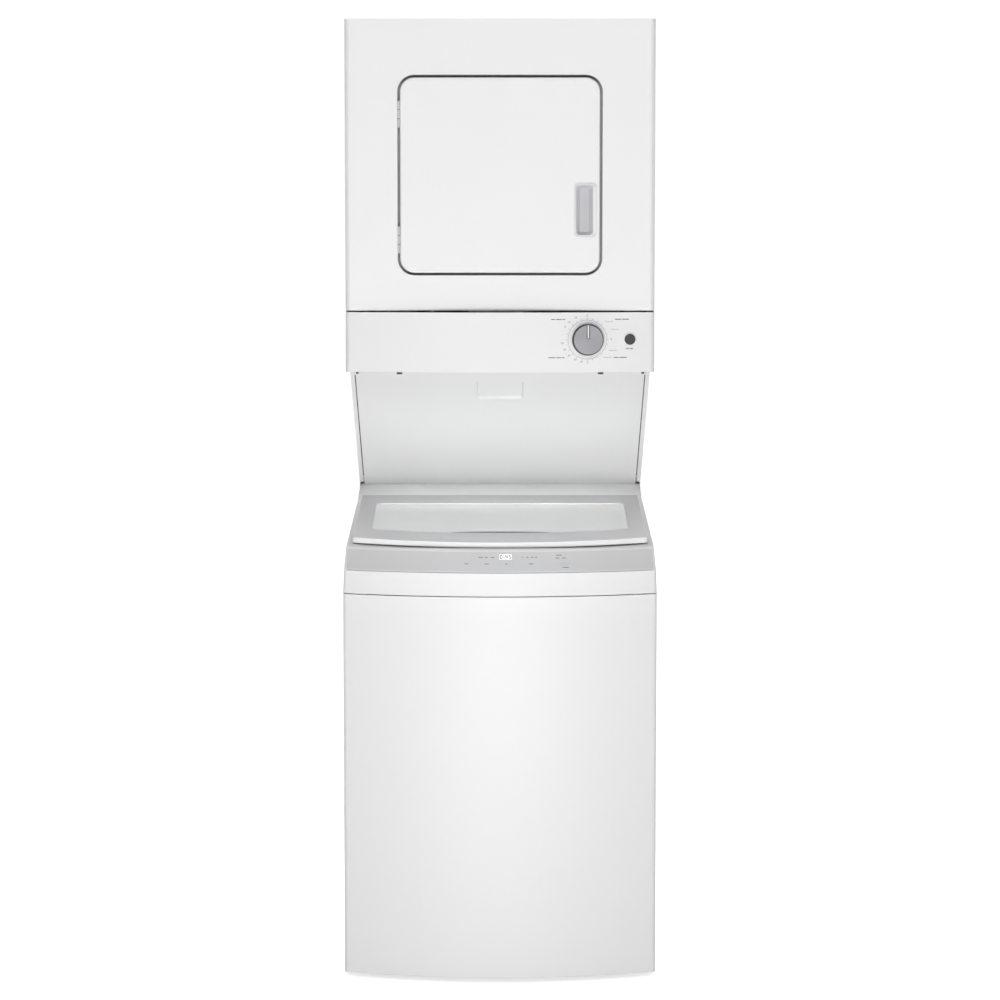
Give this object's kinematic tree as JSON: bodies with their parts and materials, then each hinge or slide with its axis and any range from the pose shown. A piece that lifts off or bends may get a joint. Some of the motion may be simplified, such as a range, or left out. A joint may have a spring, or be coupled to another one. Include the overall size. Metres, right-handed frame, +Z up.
{
  "type": "washer dryer stack",
  "caption": "Stacked laundry centre: top-loading washer with a bowed front and tilted glass lid below, front-loading dryer with a hinged door and dial console above.",
  "frame": {"origin": "on the floor under the middle of the overall box", "axes": "+Z up, +X to the viewer's right, +Y to the back, so the front faces -Y"},
  "size_m": [0.596, 0.695, 1.822],
  "materials": {
    "white_enamel": "gloss",
    "white_plastic": "gloss",
    "silver_plastic": "satin",
    "display_plastic": "gloss",
    "clear_glass": "clear",
    "bare_steel": "satin",
    "galvanised": "matt",
    "tub_plastic": "matt",
    "basket_steel": "polished",
    "cast_alloy": "cast",
    "motor_paint": "satin",
    "belt_rubber": "matt",
    "rubber": "matt",
    "dark_plastic": "matt",
    "knob_plastic": "satin",
    "grey_plastic": "satin",
    "drum_enamel": "gloss"
  },
  "bodies": {
    "cabinet": {"base_frame": "galvanised", "washer_side_left": "white_enamel", "washer_side_right": "white_enamel", "washer_rear_panel": "galvanised", "washer_front_panel": "white_enamel", "top_cover": "white_plastic", "control_fascia": "silver_plastic", "display_window": "display_plastic", "lid_hinge_brackets": "bare_steel", "outer_tub": "tub_plastic", "tub_ring": "white_plastic", "gearcase": "cast_alloy", "washer_motor": "motor_paint", "washer_belt": "belt_rubber", "drain_pump": "dark_plastic", "inlet_valve": "dark_plastic", "suspension_struts": "bare_steel", "rear_supports": "galvanised", "dryer_side_left": "white_enamel", "dryer_side_right": "white_enamel", "slope_panel": "white_enamel", "bottom_pan": "galvanised", "dryer_top_panel": "white_enamel", "dryer_rear_panel": "galvanised", "dryer_front_panel": "white_enamel", "dryer_console": "white_plastic", "console_clips": "dark_plastic", "console_controls": "dark_plastic", "front_bulkhead": "tub_plastic", "rear_bulkhead": "galvanised", "dryer_motor": "motor_paint", "blower_housing": "grey_plastic", "exhaust_duct": "galvanised", "drum_belt": "belt_rubber", "hinge_fixed": "white_enamel"},
    "lid": {"lid_frame": "white_plastic", "lid_bezel": "silver_plastic", "lid_glass": "clear_glass"},
    "door": {"door_outer": "white_enamel", "door_inner": "white_enamel", "door_seal": "rubber", "door_handle": "grey_plastic", "hinge_moving": "white_enamel"},
    "knob": {"timer_knob": "knob_plastic"},
    "start": {"start_button": "dark_plastic"},
    "basket": {"basket": "basket_steel", "balance_ring": "tub_plastic"},
    "wash_drive": {"wash_plate": "tub_plastic", "drive_pulley": "cast_alloy"},
    "washer_pulley": {"washer_motor_pulley": "bare_steel"},
    "drum": {"drum": "drum_enamel", "drum_baffles": "tub_plastic"},
    "left_roller": {"roller_left": "belt_rubber"},
    "right_roller": {"roller_right": "belt_rubber"},
    "blower": {"blower_wheel": "dark_plastic"},
    "lint": {"lint_screen": "grey_plastic"},
    "front_left_foot": {"foot_front_left": "rubber"},
    "front_right_foot": {"foot_front_right": "rubber"},
    "rear_left_foot": {"foot_rear_left": "rubber"},
    "rear_right_foot": {"foot_rear_right": "rubber"}
  },
  "joints": [
    {"name": "lid_hinge", "type": "hinge", "parent": "cabinet", "child": "lid", "pos_m": [0, 0.17231, 0.86652], "axis": [-1, 0, 0], "range_deg": [0, 44]},
    {"name": "dryer_door_hinge", "type": "hinge", "parent": "cabinet", "child": "door", "pos_m": [-0.1905, -0.2775, 1.53], "axis": [0, 0, -1], "range_deg": [0, 170]},
    {"name": "timer_knob_turn", "type": "hinge", "parent": "cabinet", "child": "knob", "pos_m": [0.1645, -0.29192, 1.222], "axis": [0.092, -0.9958, 0], "continuous": true},
    {"name": "start_button_press", "type": "slide", "parent": "cabinet", "child": "start", "axis": [-0.137, 0.9906, 0], "range_m": [0, 0.003], "stiffness_N_per_m": 900, "springref_m": -0.001},
    {"name": "basket_spin", "type": "hinge", "parent": "cabinet", "child": "basket", "pos_m": [0, -0.04, 0.56], "axis": [0, 0, 1], "continuous": true},
    {"name": "wash_drive_turn", "type": "hinge", "parent": "cabinet", "child": "wash_drive", "pos_m": [0, -0.04, 0.44], "axis": [0, 0, 1], "continuous": true},
    {"name": "washer_motor_turn", "type": "hinge", "parent": "cabinet", "child": "washer_pulley", "pos_m": [0, 0.115, 0.265], "axis": [0, 0, 1], "continuous": true},
    {"name": "drum_spin", "type": "hinge", "parent": "cabinet", "child": "drum", "pos_m": [0, 0, 1.53], "axis": [0, 1, 0], "continuous": true},
    {"name": "left_roller_turn", "type": "hinge", "parent": "cabinet", "child": "left_roller", "pos_m": [-0.15756, 0.227, 1.28737], "axis": [0, 1, 0], "continuous": true},
    {"name": "right_roller_turn", "type": "hinge", "parent": "cabinet", "child": "right_roller", "pos_m": [0.15756, 0.227, 1.28737], "axis": [0, 1, 0], "continuous": true},
    {"name": "blower_turn", "type": "hinge", "parent": "cabinet", "child": "blower", "pos_m": [0.178, -0.05, 1.245], "axis": [0, 1, 0], "continuous": true},
    {"name": "lint_screen_lift", "type": "slide", "parent": "cabinet", "child": "lint", "axis": [0, 0, 1], "range_m": [0, 0.09]},
    {"name": "front_left_foot_turn", "type": "hinge", "parent": "cabinet", "child": "front_left_foot", "pos_m": [-0.262, -0.258, 0.01], "axis": [0, 0, 1], "continuous": true},
    {"name": "front_right_foot_turn", "type": "hinge", "parent": "cabinet", "child": "front_right_foot", "pos_m": [0.262, -0.258, 0.01], "axis": [0, 0, 1], "continuous": true},
    {"name": "rear_left_foot_turn", "type": "hinge", "parent": "cabinet", "child": "rear_left_foot", "pos_m": [-0.262, 0.288, 0.01], "axis": [0, 0, 1], "continuous": true},
    {"name": "rear_right_foot_turn", "type": "hinge", "parent": "cabinet", "child": "rear_right_foot", "pos_m": [0.262, 0.288, 0.01], "axis": [0, 0, 1], "continuous": true}
  ],
  "couplings": [
    {"joint": "washer_motor_turn", "follows": "wash_drive_turn", "ratio": 3.8636},
    {"joint": "left_roller_turn", "follows": "drum_spin", "ratio": -7.5},
    {"joint": "right_roller_turn", "follows": "drum_spin", "ratio": -7.5},
    {"joint": "blower_turn", "follows": "drum_spin", "ratio": 21.25}
  ]
}
